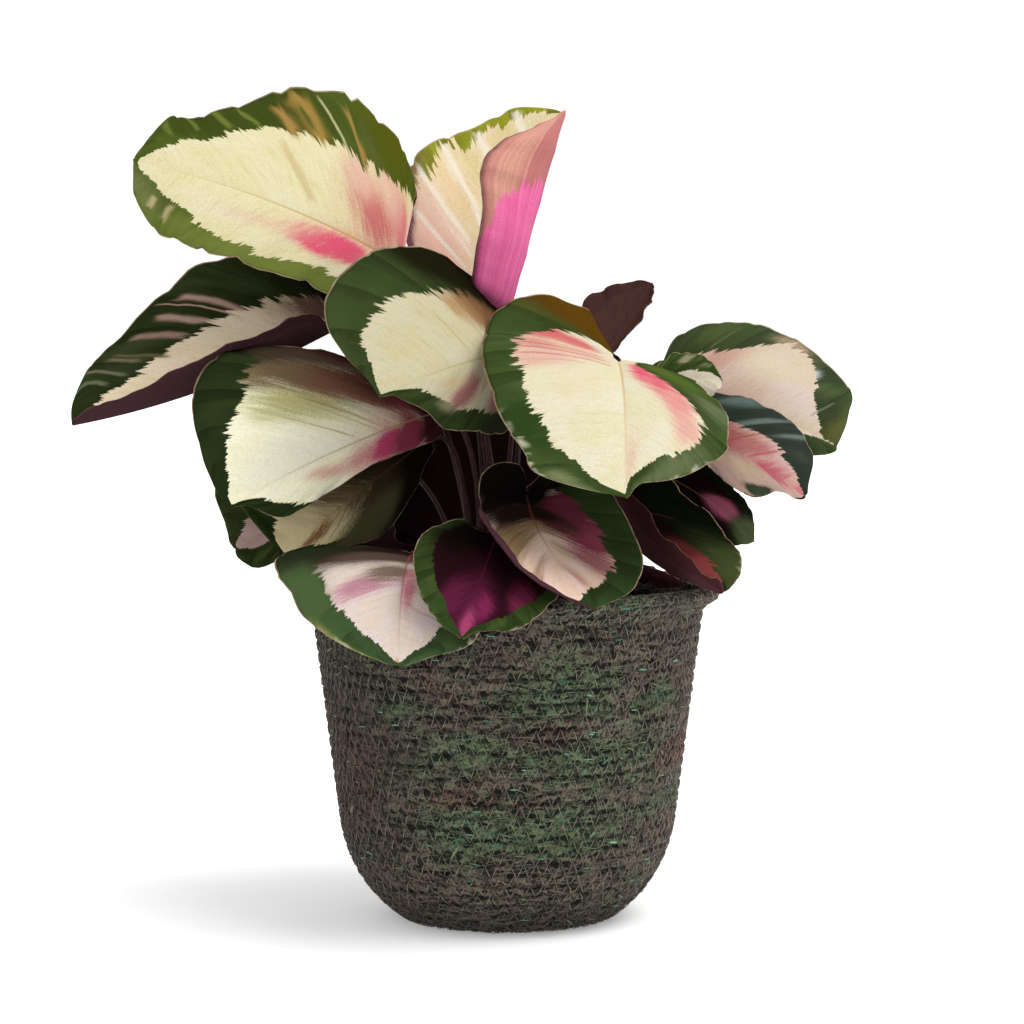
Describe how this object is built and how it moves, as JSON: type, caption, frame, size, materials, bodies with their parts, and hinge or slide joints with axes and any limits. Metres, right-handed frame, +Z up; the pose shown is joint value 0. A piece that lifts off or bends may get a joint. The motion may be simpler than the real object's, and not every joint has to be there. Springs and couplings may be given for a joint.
{
  "type": "potted calathea",
  "caption": "Rose-painted calathea with broad patterned leaves on slim stalks, in a nursery pot that stands in a round stitched seagrass basket.",
  "frame": {"origin": "centre of the basket's flat foot, on the surface it stands on", "axes": "+Z up, -Y towards the plant's front, +X to the right seen from the front"},
  "size_m": [0.3414, 0.265, 0.3647],
  "materials": {
    "seagrass": "matt woven plant fibre, dyed dark green",
    "liner_film": "thin black film with a low sheen",
    "pot_plastic": "black moulded plastic, satin",
    "potting_mix": "crumbly, matt",
    "rootstock": "dry scales, matt",
    "leaf_blade": "satin upper side, matt maroon underside",
    "leaf_stalk": "satin"
  },
  "bodies": {
    "root": {"basket": "seagrass", "liner": "liner_film", "nursery_pot": "pot_plastic", "potting_soil": "potting_mix", "crown": "rootstock", "leaf_high_left": "leaf_blade", "leaf_high_back": "leaf_blade", "leaf_low_left": "leaf_blade", "leaf_mid_left_top": "leaf_blade", "leaf_front_right": "leaf_blade", "leaf_mid_left": "leaf_blade", "leaf_lower_left": "leaf_blade", "leaf_far_left_low": "leaf_blade", "leaf_drape_left": "leaf_blade", "leaf_drape_mid": "leaf_blade", "leaf_centre_low": "leaf_blade", "leaf_right_low": "leaf_blade", "leaf_right_low_back": "leaf_blade", "leaf_right_tip": "leaf_blade", "leaf_right_far": "leaf_blade", "leaf_small_right": "leaf_blade", "leaf_back_dark": "leaf_blade", "leaf_rim_low": "leaf_blade", "leaf_back_left_high": "leaf_blade", "leaf_back_mid_high": "leaf_blade", "leaf_back_right": "leaf_blade", "leaf_back_low_left": "leaf_blade", "leaf_back_low_mid": "leaf_blade", "leaf_back_low_right": "leaf_blade", "leaf_back_mid": "leaf_blade", "stalk_high_left": "leaf_stalk", "stalk_high_back": "leaf_stalk", "stalk_low_left": "leaf_stalk", "stalk_mid_left_top": "leaf_stalk", "stalk_front_right": "leaf_stalk", "stalk_mid_left": "leaf_stalk", "stalk_lower_left": "leaf_stalk", "stalk_far_left_low": "leaf_stalk", "stalk_drape_left": "leaf_stalk", "stalk_drape_mid": "leaf_stalk", "stalk_centre_low": "leaf_stalk", "stalk_right_low": "leaf_stalk", "stalk_right_low_back": "leaf_stalk", "stalk_right_tip": "leaf_stalk", "stalk_right_far": "leaf_stalk", "stalk_small_right": "leaf_stalk", "stalk_back_dark": "leaf_stalk", "stalk_rim_low": "leaf_stalk", "stalk_back_left_high": "leaf_stalk", "stalk_back_mid_high": "leaf_stalk", "stalk_back_right": "leaf_stalk", "stalk_back_low_left": "leaf_stalk", "stalk_back_low_mid": "leaf_stalk", "stalk_back_low_right": "leaf_stalk", "stalk_back_mid": "leaf_stalk"}
  },
  "joints": []
}
